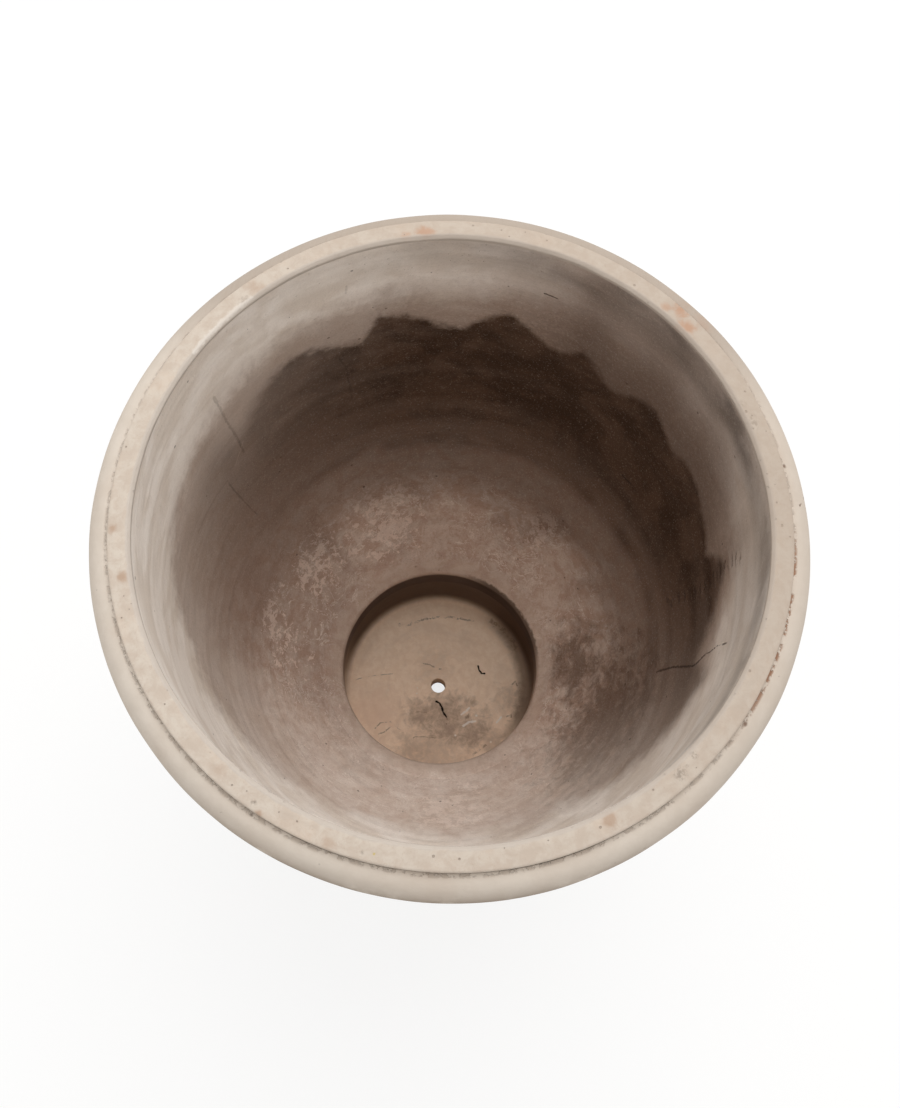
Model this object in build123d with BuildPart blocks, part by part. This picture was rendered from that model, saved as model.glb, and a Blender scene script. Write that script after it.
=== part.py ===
import os

from build123d import *

os.makedirs("parts", exist_ok=True)

# Ceramic floor planter, thrown in sections that are luted together and fired as one pot.
# Millimetres, Z up. The origin is the middle of the ring that it stands on, on the pot's axis.
# Every piece is turned, so each is drawn as half a section in the XZ plane and revolved.

# Heights above the ground
total_height = 760.0
belly_height = 540.0
wall_joint_height = 360.0
hole_edge_height = 168.0
base_height = 132.0
well_floor_height = 45.0
dish_height = 14.0

# The wall: nearly straight above the belly, and a quarter of an ellipse below it
belly_radius = 281.0
mouth_draw_in = 2.0
wall = 22.0

# The flat band at the mouth, which laps over the top of the wall
rim_width = 21.0
rim_fall = 5.0
rim_depth = 60.0
rim_lap = 8.0
rim_inner_bevel = 3.0
rim_outer_round = 2.0

# The roll that binds the band's joint from outside
roll_step = 8.0
roll_height = 54.0
roll_proud = 22.0

# The joint half way down the wall, which shows inside as a dark ring
wall_joint_fall = 8.0
wall_joint_groove = 3.0

# The hole in the bowl's base, and the clay that is smoothed over its edge
hole_radius = 128.0
band_lining = 6.0
band_width = 22.0
band_proud = 2.5
band_round = 5.0
band_feather = 0.8

# The dish below the bowl, with the well's floor and the drain hole
well_setback = 6.0
well_corner = 14.0
foot_wall = 26.0
foot_flare = 26.0
foot_waist = 9.0
foot_toe = 26.0
foot_toe_round = 8.0
neck_round = 16.0
base_joint_rise = 6.0
drain_radius = 10.5
drain_wear = 1.5

# The ring that the pot stands on, seated in a groove under the dish
foot_ring_width = 24.0
foot_ring_inset = 6.0
foot_ring_seat = 2.0
foot_ring_round = 4.0

# The bowl's curve runs from straight down to straight out, in degrees
quarter_turn = 90

# Radii and heights that follow from the sizes above
mouth_radius = belly_radius - mouth_draw_in
bore_radius = hole_radius + band_lining
band_outer_radius = hole_radius + band_width
well_radius = hole_radius + well_setback
neck_radius = well_radius + foot_wall
foot_radius = neck_radius + foot_flare
outer_belly_radius = belly_radius + wall
rim_outer_radius = mouth_radius + rim_width
rim_outer_height = total_height - rim_fall
rim_joint_height = total_height - rim_depth
inner_drop = (belly_height - hole_edge_height) / (1 - (hole_radius / belly_radius) ** 2) ** 0.5
outer_drop = inner_drop + wall
base_outer_height = base_height + base_joint_rise
toe_height = dish_height + foot_toe
foot_ring_outer = foot_radius - foot_ring_inset
foot_ring_inner = foot_ring_outer - foot_ring_width


def inner_radius(height):
    """Radius of the wall's inside at a height."""
    if height < belly_height:
        return belly_radius * (1 - ((belly_height - height) / inner_drop) ** 2) ** 0.5
    share = (height - belly_height) / (total_height - belly_height)
    return belly_radius + share * (mouth_radius - belly_radius)


def outer_radius(height):
    """Radius of the wall's outside at a height."""
    if height < belly_height:
        return outer_belly_radius * (1 - ((belly_height - height) / outer_drop) ** 2) ** 0.5
    share = (height - belly_height) / (rim_outer_height - belly_height)
    return outer_belly_radius + share * (rim_outer_radius - outer_belly_radius)


def inner_height(radius):
    """Height of the bowl's inside at a radius, below the belly."""
    return belly_height - inner_drop * (1 - (radius / belly_radius) ** 2) ** 0.5


def outer_height(radius):
    """Height of the bowl's outside at a radius, below the belly."""
    return belly_height - outer_drop * (1 - (radius / outer_belly_radius) ** 2) ** 0.5


def under(joint):
    """Corners of everything below a joint, given from the inside of the wall to its outside."""
    far_radius = 2 * outer_belly_radius
    joint_start = (0, joint[0][1])
    joint_end = (far_radius, joint[-1][1])
    return [(0, -total_height), joint_start, *joint, joint_end, (far_radius, -total_height)]


def round_edge(piece, radius, height):
    """The round edge of a turned piece at a radius and a height."""
    circles = piece.edges().filter_by(GeomType.CIRCLE)
    return circles.sort_by_distance((radius, 0, height))[0]


# Each joint runs from the inside to the outside, and both pieces are cut along it
base_joint = [(bore_radius, base_height), (neck_radius, base_outer_height)]
wall_joint_outer_height = wall_joint_height - wall_joint_fall
wall_joint = [
    (inner_radius(wall_joint_height), wall_joint_height),
    (outer_radius(wall_joint_outer_height), wall_joint_outer_height),
]
rim_middle_radius = (inner_radius(rim_joint_height) + outer_radius(rim_joint_height)) / 2
rim_lap_height = rim_joint_height - rim_lap
rim_joint = [
    (inner_radius(rim_joint_height), rim_joint_height),
    (rim_middle_radius, rim_joint_height),
    (rim_middle_radius, rim_lap_height),
    (outer_radius(rim_lap_height), rim_lap_height),
]

# Half section of the whole bowl, from the turned base up to the flat rim
with BuildSketch(Plane.XZ) as bowl_section:
    with BuildLine():
        outside = EllipticalCenterArc(
            (0, belly_height),
            outer_drop,
            outer_belly_radius,
            arc_size=quarter_turn,
            rotation=-quarter_turn,
        )
        Polyline(
            outside @ 1,
            (rim_outer_radius, rim_outer_height),
            (mouth_radius, total_height),
            (0, total_height),
            outside @ 0,
        )
    make_face()
    with Locations((0, base_height)):
        Rectangle(neck_radius, belly_height - base_height, align=(Align.MIN, Align.MIN))
    with BuildLine():
        inside = EllipticalCenterArc(
            (0, belly_height),
            inner_drop,
            belly_radius,
            arc_size=quarter_turn,
            rotation=-quarter_turn,
        )
        Polyline(inside @ 1, (mouth_radius, total_height), (0, total_height), inside @ 0)
    make_face(mode=Mode.SUBTRACT)
    with Locations((0, base_height)):
        Rectangle(bore_radius, belly_height, align=(Align.MIN, Align.MIN), mode=Mode.SUBTRACT)

# Foot ring: a coil laid in a groove under the dish, turned flat where it stands
with BuildPart() as foot_ring:
    with BuildSketch(Plane.XZ):
        with Locations((foot_ring_inner, 0)):
            Rectangle(
                foot_ring_width, dish_height + foot_ring_seat, align=(Align.MIN, Align.MIN)
            )
    revolve(axis=Axis.Z)
    fillet(round_edge(foot_ring, foot_ring_inner, 0), foot_ring_round)
    fillet(round_edge(foot_ring, foot_ring_outer, 0), foot_ring_round)
foot_ring.part.label = "foot_ring"
export_step(foot_ring.part, "parts/foot_ring.step")

# Foot dish: the well's floor and wall, a little waisted outside, with the drain hole
with BuildPart() as foot_dish:
    with BuildSketch(Plane.XZ):
        with BuildLine():
            waist = SagittaArc(
                (foot_radius, toe_height), (neck_radius, base_outer_height), foot_waist
            )
            Polyline(
                waist @ 1,
                (bore_radius, base_height),
                (0, base_height),
                (0, dish_height),
                (foot_radius, dish_height),
                waist @ 0,
            )
        make_face()
    revolve(axis=Axis.Z)
    fillet(round_edge(foot_dish, foot_radius, toe_height), foot_toe_round)
    with BuildSketch(Plane.XY.offset(well_floor_height)):
        Circle(well_radius)
    extrude(amount=base_height - well_floor_height, mode=Mode.SUBTRACT)
    fillet(round_edge(foot_dish, well_radius, well_floor_height), well_corner)
    with BuildSketch(Plane.XY.offset(dish_height)):
        Circle(foot_ring_outer)
        Circle(foot_ring_inner, mode=Mode.SUBTRACT)
    extrude(amount=foot_ring_seat, mode=Mode.SUBTRACT)
    Hole(drain_radius)
    fillet(round_edge(foot_dish, drain_radius, well_floor_height), drain_wear)
    fillet(round_edge(foot_dish, drain_radius, dish_height), drain_wear)
foot_dish.part.label = "foot_dish"
export_step(foot_dish.part, "parts/foot_dish.step")

# Lower bowl: the round bottom, thrown with a thick base that is bored right through
with BuildPart() as lower_bowl:
    with BuildSketch(Plane.XZ) as lower_bowl_section:
        add(bowl_section.sketch)
        Polygon(*under(wall_joint), align=None, mode=Mode.INTERSECT)
        Polygon(*under(base_joint), align=None, mode=Mode.SUBTRACT)
    revolve(axis=Axis.Z)
    fillet(round_edge(lower_bowl, *wall_joint[0]), wall_joint_groove)
    fillet(round_edge(lower_bowl, neck_radius, outer_height(neck_radius)), neck_round)
lower_bowl.part.label = "lower_bowl"
export_step(lower_bowl.part, "parts/lower_bowl.step")

# Seam band: clay that lines the bored hole and is smoothed out over the bowl's floor
band_edge_height = hole_edge_height + band_proud
with BuildPart() as seam_band:
    with BuildSketch(Plane.XZ):
        Polygon(
            (hole_radius, base_height),
            (hole_radius, band_edge_height),
            (band_outer_radius, inner_height(band_outer_radius) + band_feather),
            (band_outer_radius, base_height),
            align=None,
        )
        add(lower_bowl_section.sketch, mode=Mode.SUBTRACT)
        Polygon(*under(base_joint), align=None, mode=Mode.SUBTRACT)
    revolve(axis=Axis.Z)
    fillet(round_edge(seam_band, hole_radius, band_edge_height), band_round)
seam_band.part.label = "seam_band"
export_step(seam_band.part, "parts/seam_band.step")

# Upper wall: a straight-sided section on top of the bowl, rebated for the rim band
with BuildPart() as upper_wall:
    with BuildSketch(Plane.XZ):
        add(bowl_section.sketch)
        Polygon(*under(rim_joint), align=None, mode=Mode.INTERSECT)
        Polygon(*under(wall_joint), align=None, mode=Mode.SUBTRACT)
    revolve(axis=Axis.Z)
    fillet(round_edge(upper_wall, *wall_joint[0]), wall_joint_groove)
upper_wall.part.label = "upper_wall"
export_step(upper_wall.part, "parts/upper_wall.step")

# Rim band: the flat-topped band at the mouth, with its inner edge scraped off
with BuildPart() as rim_band:
    with BuildSketch(Plane.XZ):
        add(bowl_section.sketch)
        Polygon(*under(rim_joint), align=None, mode=Mode.SUBTRACT)
    revolve(axis=Axis.Z)
    chamfer(round_edge(rim_band, mouth_radius, total_height), rim_inner_bevel)
    fillet(round_edge(rim_band, rim_outer_radius, rim_outer_height), rim_outer_round)
rim_band.part.label = "rim_band"
export_step(rim_band.part, "parts/rim_band.step")

# Lip roll: a coil pressed round the outside, a step below the flat rim
roll_top = rim_outer_height - roll_step
roll_middle = roll_top - roll_height / 2
with BuildPart() as lip_roll:
    with BuildSketch(Plane.XZ):
        with Locations((outer_radius(roll_middle), roll_middle)):
            Ellipse(roll_proud, roll_height / 2)
        Polygon(
            (0, belly_height),
            (outer_belly_radius, belly_height),
            (rim_outer_radius, rim_outer_height),
            (0, rim_outer_height),
            align=None,
            mode=Mode.SUBTRACT,
        )
    revolve(axis=Axis.Z)
lip_roll.part.label = "lip_roll"
export_step(lip_roll.part, "parts/lip_roll.step")
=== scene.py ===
import math

import bmesh
import bpy
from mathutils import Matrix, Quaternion, Vector, noise


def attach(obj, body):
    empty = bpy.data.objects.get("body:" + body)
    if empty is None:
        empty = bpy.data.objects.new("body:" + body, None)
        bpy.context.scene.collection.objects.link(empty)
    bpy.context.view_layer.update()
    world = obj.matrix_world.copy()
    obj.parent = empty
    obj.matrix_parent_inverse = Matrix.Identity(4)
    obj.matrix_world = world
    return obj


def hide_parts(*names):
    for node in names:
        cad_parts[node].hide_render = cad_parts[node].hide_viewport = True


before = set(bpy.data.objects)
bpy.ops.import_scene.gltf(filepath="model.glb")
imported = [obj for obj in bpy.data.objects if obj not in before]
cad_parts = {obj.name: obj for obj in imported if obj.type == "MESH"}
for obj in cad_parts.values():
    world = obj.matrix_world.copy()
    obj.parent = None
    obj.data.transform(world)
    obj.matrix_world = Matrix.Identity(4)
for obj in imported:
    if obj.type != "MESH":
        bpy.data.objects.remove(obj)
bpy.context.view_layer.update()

# Camera
# The photograph looks down into the pot from about 1.1 m, nearly over its middle, with the camera
# rolled a little. The distance and the tilt are counted from the middle of the mouth.
MM = 0.001
photo_height_px = 1108
focal_length_px = 1250
total_height = 760
mouth_height = total_height * MM
eye_distance = 1085 * MM
eye_elevation = math.radians(70.5)
eye_roll = math.radians(5.1)
aim_below_mouth = 105 * MM

camera_data = bpy.data.cameras.new("camera")
camera_data.lens = camera_data.sensor_width * focal_length_px / photo_height_px
camera = bpy.data.objects.new("camera", camera_data)
bpy.context.scene.collection.objects.link(camera)
bpy.context.scene.camera = camera
eye = Vector((0, -math.cos(eye_elevation), math.sin(eye_elevation))) * eye_distance
eye.z += mouth_height
aim = Vector((0, 0, mouth_height - aim_below_mouth))
camera.location = eye
camera.rotation_mode = "QUATERNION"
camera.rotation_quaternion = (aim - eye).to_track_quat("-Z", "Y") @ Quaternion((0, 0, 1), eye_roll)

# Floor and light
# Plain pale paper that shows as white and keeps the pot's soft shadow, under a bright even sky and
# one wide soft box. The box hangs over the far side of the mouth and reaches down to the well.
sky_strength = 0.75
soft_box_size = 4.4
soft_box_distance = 5.0
soft_box_watts = 175
soft_box_lean = math.radians(27)
soft_box_bearing = math.radians(78)
paper_shadow = 0.2


def add(tree, kind, inputs=(), **settings):
    """Adds a node with its settings, and gives each input a value or a link."""
    node = tree.nodes.new(kind)
    for name, value in settings.items():
        setattr(node, name, value)
    for name, value in dict(inputs).items():
        if isinstance(value, bpy.types.NodeSocket):
            tree.links.new(value, node.inputs[name])
        else:
            node.inputs[name].default_value = value
    return node


def colour(code):
    """The linear colour of an sRGB hex code."""
    parts = [int(code[i : i + 2], 16) / 255 for i in (0, 2, 4)]
    linear = [p / 12.92 if p <= 0.04045 else ((p + 0.055) / 1.055) ** 2.4 for p in parts]
    return (*linear, 1)


bpy.context.scene.view_settings.view_transform = "Standard"

world = bpy.data.worlds.new("studio")
bpy.context.scene.world = world
world.use_nodes = True
tree = world.node_tree
tree.nodes.clear()
path = add(tree, "ShaderNodeLightPath")
seen_rays = {0: path.outputs["Is Camera Ray"], 1: path.outputs["Is Glossy Ray"]}
seen = add(tree, "ShaderNodeMath", seen_rays, operation="MAXIMUM")
sky_range = {"Value": seen.outputs[0], "To Min": sky_strength, "To Max": 1.0}
strength = add(tree, "ShaderNodeMapRange", sky_range)
sky = add(tree, "ShaderNodeBackground", {"Color": colour("ffffff"), "Strength": strength.outputs[0]})
add(tree, "ShaderNodeOutputWorld", {"Surface": sky.outputs[0]})

paper = bpy.data.materials.new("white_paper")
paper.use_nodes = True
tree = paper.node_tree
tree.nodes.clear()
path = add(tree, "ShaderNodeLightPath")
sheet = add(tree, "ShaderNodeBsdfDiffuse", {"Color": colour("f4f3f0")})
glow = add(tree, "ShaderNodeEmission", {"Color": colour("ffffff"), "Strength": 1.0})
glow_share = {0: path.outputs["Is Camera Ray"], 1: 1 - paper_shadow}
glowing = add(tree, "ShaderNodeMath", glow_share, operation="MULTIPLY")
shown = add(tree, "ShaderNodeMixShader", {0: glowing.outputs[0], 1: sheet.outputs[0], 2: glow.outputs[0]})
add(tree, "ShaderNodeOutputMaterial", {"Surface": shown.outputs[0]})

floor_half_width = 8
floor_shape = bmesh.new()
bmesh.ops.create_grid(floor_shape, x_segments=1, y_segments=1, size=floor_half_width)
floor_mesh = bpy.data.meshes.new("floor")
floor_shape.to_mesh(floor_mesh)
floor_shape.free()
floor_mesh.materials.append(paper)
floor = bpy.data.objects.new("floor", floor_mesh)
bpy.context.scene.collection.objects.link(floor)

lamp_data = bpy.data.lights.new("soft_box", "AREA")
lamp_data.shape = "DISK"
lamp_data.size = soft_box_size
lamp_data.energy = soft_box_watts
lamp = bpy.data.objects.new("soft_box", lamp_data)
bpy.context.scene.collection.objects.link(lamp)
lean = Vector((math.cos(soft_box_bearing), math.sin(soft_box_bearing), 0)) * math.sin(soft_box_lean)
lamp_way = lean + Vector((0, 0, math.cos(soft_box_lean)))
lamp.location = Vector((0, 0, mouth_height)) + lamp_way * soft_box_distance
lamp.rotation_mode = "QUATERNION"
lamp.rotation_quaternion = lamp_way.to_track_quat("Z", "Y")

# Rim band
# A flat-topped band of the pot's clay, luted over the rebate on the wall and washed with pale slip.
# Its inner edge was scraped off by hand when it was leather hard.
mouth_radius = 279
belly_radius = 281
belly_height = 540
wall = 22
rim_joint = 700
rim_lap = 692
rim_top = 759.3
lap_radius = 290
rim_outer_radius = 300
rim_outer_height = 755
bevel = 3
hole_radius = 128
hole_edge = 168
inner_drop = (belly_height - hole_edge) / math.sqrt(1 - (hole_radius / belly_radius) ** 2)
outer_drop = inner_drop + wall
outer_belly_radius = belly_radius + wall
slices = 12
wobble_size = 260
wobble_depth = 1.1
settle_height = 40


def straight(low_radius, high_radius, top, height):
    """Radius of the straight part of the wall at a height above the belly."""
    return low_radius + (high_radius - low_radius) * (height - belly_height) / (top - belly_height)


def inner_radius(height):
    """Radius of the wall's inside at a height."""
    if height > belly_height:
        return straight(belly_radius, mouth_radius, total_height, height)
    return belly_radius * math.sqrt(1 - ((belly_height - height) / inner_drop) ** 2)


def inner_height(radius):
    """Height of the bowl's inside at a radius."""
    return belly_height - inner_drop * math.sqrt(1 - (radius / belly_radius) ** 2)


def outer_height(radius):
    """Height of the bowl's outside at a radius."""
    return belly_height - outer_drop * math.sqrt(1 - (radius / outer_belly_radius) ** 2)


def way_out(spot):
    """The way through the wall towards the outside at a place in mm, and how far out it is."""
    middle = belly_radius + wall / 2
    middle_drop = inner_drop + wall / 2
    radius = math.hypot(spot.x, spot.y)
    below = max(belly_height - spot.z, 0)
    far = math.hypot(radius / middle, below / middle_drop)
    way = Vector((spot.x / middle**2, spot.y / middle**2, -below / middle_drop**2))
    return way.normalized(), far


def trace(corners, inside_step, outside_step):
    """Points round a section, in mm: each corner is (radius, height, ease), eased into a curve."""
    points = []
    for i, (radius, height, ease) in enumerate(corners):
        here = Vector((radius, height))
        if not ease:
            points.append(here)
            continue
        before = Vector(corners[i - 1][:2]) - here
        after = Vector(corners[(i + 1) % len(corners)][:2]) - here
        start = here + before.normalized() * ease
        end = here + after.normalized() * ease
        for share in (0, 0.25, 0.5, 0.75, 1):
            points.append(start.lerp(here, share).lerp(here.lerp(end, share), share))
    run = []
    for here, there in zip(points, points[1:] + points[:1]):
        middle = here.lerp(there, 0.5)
        outside = way_out(Vector((middle.x, 0, middle.y)))[1] > 1
        parts = max(1, round((there - here).length / (outside_step if outside else inside_step)))
        run += [here.lerp(there, part / parts) for part in range(parts)]
    return run


def thrown_rings(spot, spacing, run):
    """Noise in rings that are a spacing apart, and change slowly over a run round the pot."""
    along = spot.z + math.hypot(spot.x, spot.y)
    return noise.noise(Vector((spot.x / run, spot.y / run, along / spacing)))


def thrown_relief(spot):
    """Throwing rings on the inside and a smoother, slightly lumpy outside, as a move in mm."""
    way, far = way_out(spot)
    if far < 1:
        rings = thrown_rings(spot, spacing=17, run=240)
        fine = thrown_rings(spot, spacing=6, run=90)
        lumps = noise.noise(spot / 46)
        return way * (0.7 * rings + 0.22 * fine + 0.5 * lumps)
    return way * (0.3 * noise.noise(spot / 60) - 0.3)


def turned(name, section, steps, relief=thrown_relief, dents=()):
    """A section spun round the pot's axis, with the hand's wobble, its relief and its dents."""
    shape = bmesh.new()
    verts = [shape.verts.new((point.x, 0, point.y)) for point in section]
    edges = [shape.edges.new(pair) for pair in zip(verts, verts[1:] + verts[:1])]
    axis = {"cent": (0, 0, 0), "axis": (0, 0, 1)}
    slice_angle = math.tau / slices
    rest_angle = math.tau - slice_angle
    bmesh.ops.spin(shape, geom=verts + edges, angle=slice_angle, steps=steps // slices, **axis)
    first_slice = shape.verts[:] + shape.edges[:] + shape.faces[:]
    bmesh.ops.spin(shape, geom=first_slice, angle=rest_angle, steps=slices - 1, use_duplicate=True, **axis)
    bmesh.ops.remove_doubles(shape, verts=shape.verts, dist=0.01)
    bmesh.ops.recalc_face_normals(shape, faces=shape.faces)
    for vert in shape.verts:
        spot = vert.co.copy()
        settle = min(1, spot.z / settle_height)
        wobble = (noise.noise(spot / wobble_size) - 1) / 2 * wobble_depth * settle
        move = Vector((spot.x, spot.y, 0)).normalized() * wobble
        if settle == 1:
            move += relief(spot)
        for place, width, depth in dents:
            away = (spot - place).length / width
            if away < 1:
                rough = 1 + 0.5 * noise.noise(spot / 4)
                move += way_out(spot)[0] * (1 - away**2) ** 2 * depth * rough
        vert.co = (spot + move) * MM
    mesh = bpy.data.meshes.new(name)
    shape.to_mesh(mesh)
    shape.free()
    mesh.shade_smooth()
    mesh.set_sharp_from_angle(angle=math.radians(40))
    piece = bpy.data.objects.new(name, mesh)
    bpy.context.scene.collection.objects.link(piece)
    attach(piece, "root")
    return piece


def at_turn(turn, radius, height):
    """A place in mm, by its turn in degrees from the far side, its radius and its height."""
    angle = math.radians(turn)
    return Vector((radius * math.sin(angle), radius * math.cos(angle), height))


def on_wall(turn, height):
    """A place on the wall's inside, by its turn from the far side and its height."""
    return at_turn(turn, inner_radius(height), height)


def on_rim(turn, radius):
    """A place on the flat of the rim, by its turn from the far side and its radius."""
    flat_start = mouth_radius + bevel
    fall = (rim_top - rim_outer_height) * (radius - flat_start) / (rim_outer_radius - flat_start)
    return at_turn(turn, radius, rim_top - max(fall, 0))


def rim_relief(spot):
    """The flat is uneven where the slip ran, and the scraped edge is deeper in some places."""
    radius = math.hypot(spot.x, spot.y)
    if spot.z < rim_outer_height - 3:
        return thrown_relief(spot)
    uneven = 0.35 * noise.noise(spot / 21) + 0.16 * noise.noise(spot / 5) - 0.45
    scraped = max(0, 1 - (radius - mouth_radius) / 7) * (0.5 + noise.noise(spot / 38))
    chewed = max(0, 1 - abs(radius - rim_outer_radius) / 3) * max(0, noise.noise(spot / 15))
    return Vector((0, 0, uneven - 1.3 * max(0, scraped) - 0.5 * chewed)) + thrown_relief(spot) * 0.4


inner_joint_radius = straight(belly_radius, mouth_radius, total_height, rim_joint)
outer_lap_radius = straight(outer_belly_radius, rim_outer_radius, rim_outer_height, rim_lap)
rim_section = trace(
    [
        (inner_joint_radius, rim_joint, 0),
        (mouth_radius, total_height - bevel, 1),
        (mouth_radius + bevel, rim_top, 1),
        (rim_outer_radius, rim_outer_height, 2),
        (outer_lap_radius, rim_lap, 0),
        (lap_radius, rim_lap, 0),
        (lap_radius, rim_joint, 0),
    ],
    inside_step=1.8,
    outside_step=1.8,
)
rim = turned("clay_rim_band", rim_section, steps=960, relief=rim_relief)
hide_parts("rim_band")


def maths(tree, operation, *values, clamp=False):
    """The result of one sum on the values."""
    node = add(tree, "ShaderNodeMath", dict(enumerate(values)), operation=operation, use_clamp=clamp)
    return node.outputs[0]


def times(tree, *values):
    """The product of several values."""
    result = values[0]
    for value in values[1:]:
        result = maths(tree, "MULTIPLY", result, value)
    return result


def vectors(tree, operation, *values):
    """The result of one vector sum on the values: a vector, or a number where it is one."""
    node = add(tree, "ShaderNodeVectorMath", dict(enumerate(values)), operation=operation)
    return node.outputs["Value" if operation in ("LENGTH", "DISTANCE", "DOT_PRODUCT") else "Vector"]


def scaled(tree, vector, scale):
    """A vector made longer or shorter."""
    inputs = {0: vector, "Scale": scale}
    return add(tree, "ShaderNodeVectorMath", inputs, operation="SCALE").outputs["Vector"]


def fade(tree, value, low, high, to=1):
    """0 at low and the given share at high, eased between them."""
    inputs = {"Value": value, "From Min": low, "From Max": high, "To Max": to}
    return add(tree, "ShaderNodeMapRange", inputs, interpolation_type="SMOOTHSTEP").outputs[0]


def between(tree, value, low, full, ebbing, high):
    """1 between full and ebbing, easing to 0 at low and at high."""
    return times(tree, fade(tree, value, low, full), fade(tree, value, high, ebbing))


def near(tree, value, middle, reach, full=0, to=1):
    """The given share within the distance full of a middle value, easing to 0 at its reach."""
    away = maths(tree, "ABSOLUTE", maths(tree, "SUBTRACT", value, middle))
    return fade(tree, away, reach, full, to)


def moved(tree, value, noise_value, reach):
    """A value moved up and down by a noise, over a reach."""
    return maths(tree, "MULTIPLY_ADD", maths(tree, "SUBTRACT", noise_value, 0.5), reach, value)


def mix(tree, share, under, over):
    """One colour laid over another by a share."""
    return add(tree, "ShaderNodeMix", {0: share, 6: under, 7: over}, data_type="RGBA").outputs[2]


def grain(tree, at, size, detail=3, roughness=0.55, distortion=0):
    """Cloudy noise with grains of a size in mm."""
    inputs = {"Vector": at, "Scale": 1 / size, "Detail": detail, "Roughness": roughness}
    inputs["Distortion"] = distortion
    return add(tree, "ShaderNodeTexNoise", inputs).outputs[0]


def pits(tree, at, spacing, size, share):
    """Round specks of a size in mm, in a share of the cells of a loose grid."""
    cells = add(tree, "ShaderNodeTexVoronoi", {"Vector": at, "Scale": 1 / spacing})
    chance = add(tree, "ShaderNodeSeparateColor", {0: cells.outputs["Color"]})
    chosen = maths(tree, "LESS_THAN", chance.outputs[0], share)
    reach = times(tree, chance.outputs[1], size / spacing)
    dot = fade(tree, maths(tree, "SUBTRACT", cells.outputs["Distance"], reach), 0.25 * size / spacing, 0)
    return times(tree, dot, chosen)


def around(tree, turn, line, top=1):
    """A value read off a drawn line of (turn, value) points that goes once round the pot."""
    node = add(tree, "ShaderNodeFloatCurve", {"Value": maths(tree, "MULTIPLY_ADD", turn, 1 / 360, 0.5)})
    drawn = node.mapping.curves[0]
    for place, value in line[1:-1]:
        drawn.points.new(place / 360 + 0.5, value / top)
    for point, (place, value) in zip(drawn.points, line):
        point.location = (place / 360 + 0.5, value / top)
        point.handle_type = "VECTOR"
    node.mapping.update()
    return times(tree, node.outputs[0], top)


def stroke(tree, spot, places, width, ragged=0.4):
    """A drawn line through places in mm: 1 on the line, fading out at its width."""
    nearest = None
    for here, there in zip(places, places[1:]):
        span = there - here
        start = vectors(tree, "SUBTRACT", spot.at, tuple(here))
        share = vectors(tree, "DOT_PRODUCT", start, tuple(span / span.length_squared))
        share = maths(tree, "ADD", share, 0, clamp=True)
        away = vectors(tree, "DISTANCE", start, scaled(tree, tuple(span), share))
        nearest = away if nearest is None else maths(tree, "MINIMUM", nearest, away)
    return fade(tree, moved(tree, nearest, spot.rough, 4 * ragged * width), width, width * 0.3)


def patch(tree, spot, centre, width, ragged=0.5):
    """A cloudy round patch at a place in mm: 1 in the middle, fading out at its width."""
    away = vectors(tree, "DISTANCE", spot.at, tuple(centre))
    return fade(tree, moved(tree, away, spot.cloudy, 4 * ragged * width), width, width * 0.15)


def most(tree, *values):
    """The largest of several values."""
    result = values[0]
    for value in values[1:]:
        result = maths(tree, "MAXIMUM", result, value)
    return result


def patches(tree, spot, place, marks):
    """Several patches, each with the two numbers of its place, its width and its strength."""
    drawn = []
    for *numbers, width, strength in marks:
        drawn.append(times(tree, patch(tree, spot, place(*numbers), width), strength))
    return most(tree, *drawn)


class Spot:
    """Where a point of the pot is, in mm and degrees, as the sockets that patterns are made from."""

    def __init__(self, tree):
        coords = add(tree, "ShaderNodeTexCoord")
        self.at = scaled(tree, coords.outputs["Object"], 1 / MM)
        axes = add(tree, "ShaderNodeSeparateXYZ", {0: self.at})
        self.height = axes.outputs[2]
        level = vectors(tree, "MULTIPLY", self.at, (1, 1, 0))
        self.radius = vectors(tree, "LENGTH", level)
        self.turn = maths(tree, "DEGREES", maths(tree, "ARCTAN2", axes.outputs[0], axes.outputs[1]))
        facing = add(tree, "ShaderNodeSeparateXYZ", {0: vectors(tree, "NORMALIZE", level)})
        along = maths(tree, "ADD", self.height, self.radius)
        ring_run = 15
        wide = [times(tree, facing.outputs[i], ring_run) for i in (0, 1)]
        self.thrown = add(tree, "ShaderNodeCombineXYZ", {0: wide[0], 1: wide[1], 2: along}).outputs[0]
        self.runs = vectors(tree, "MULTIPLY", self.at, (1, 1, 0.1))
        below = maths(tree, "MAXIMUM", maths(tree, "SUBTRACT", belly_height, self.height), 0)
        below = maths(tree, "DIVIDE", below, inner_drop + wall / 2)
        wide_share = maths(tree, "DIVIDE", self.radius, belly_radius + wall / 2)
        below_square = times(tree, below, below)
        far = maths(tree, "MULTIPLY_ADD", wide_share, wide_share, below_square)
        self.outside = maths(tree, "GREATER_THAN", far, 1)
        self.rough = grain(tree, self.at, 5, 3)
        self.cloudy = grain(tree, self.at, 16, 5, 0.68, 0.5)


def fired(name, paint):
    """A matt fired clay: paint gives its colour and its fine relief in mm."""
    material = bpy.data.materials.new(name)
    material.use_nodes = True
    tree = material.node_tree
    tree.nodes.clear()
    tint, relief = paint(tree, Spot(tree))
    bump = add(tree, "ShaderNodeBump", {"Height": relief, "Distance": MM, "Strength": 1.0})
    inputs = {"Base Color": tint, "Roughness": 0.9, "Specular IOR Level": 0.15}
    inputs["Normal"] = bump.outputs[0]
    skin = add(tree, "ShaderNodeBsdfPrincipled", inputs)
    add(tree, "ShaderNodeOutputMaterial", {"Surface": skin.outputs[0]})
    return material


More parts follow.
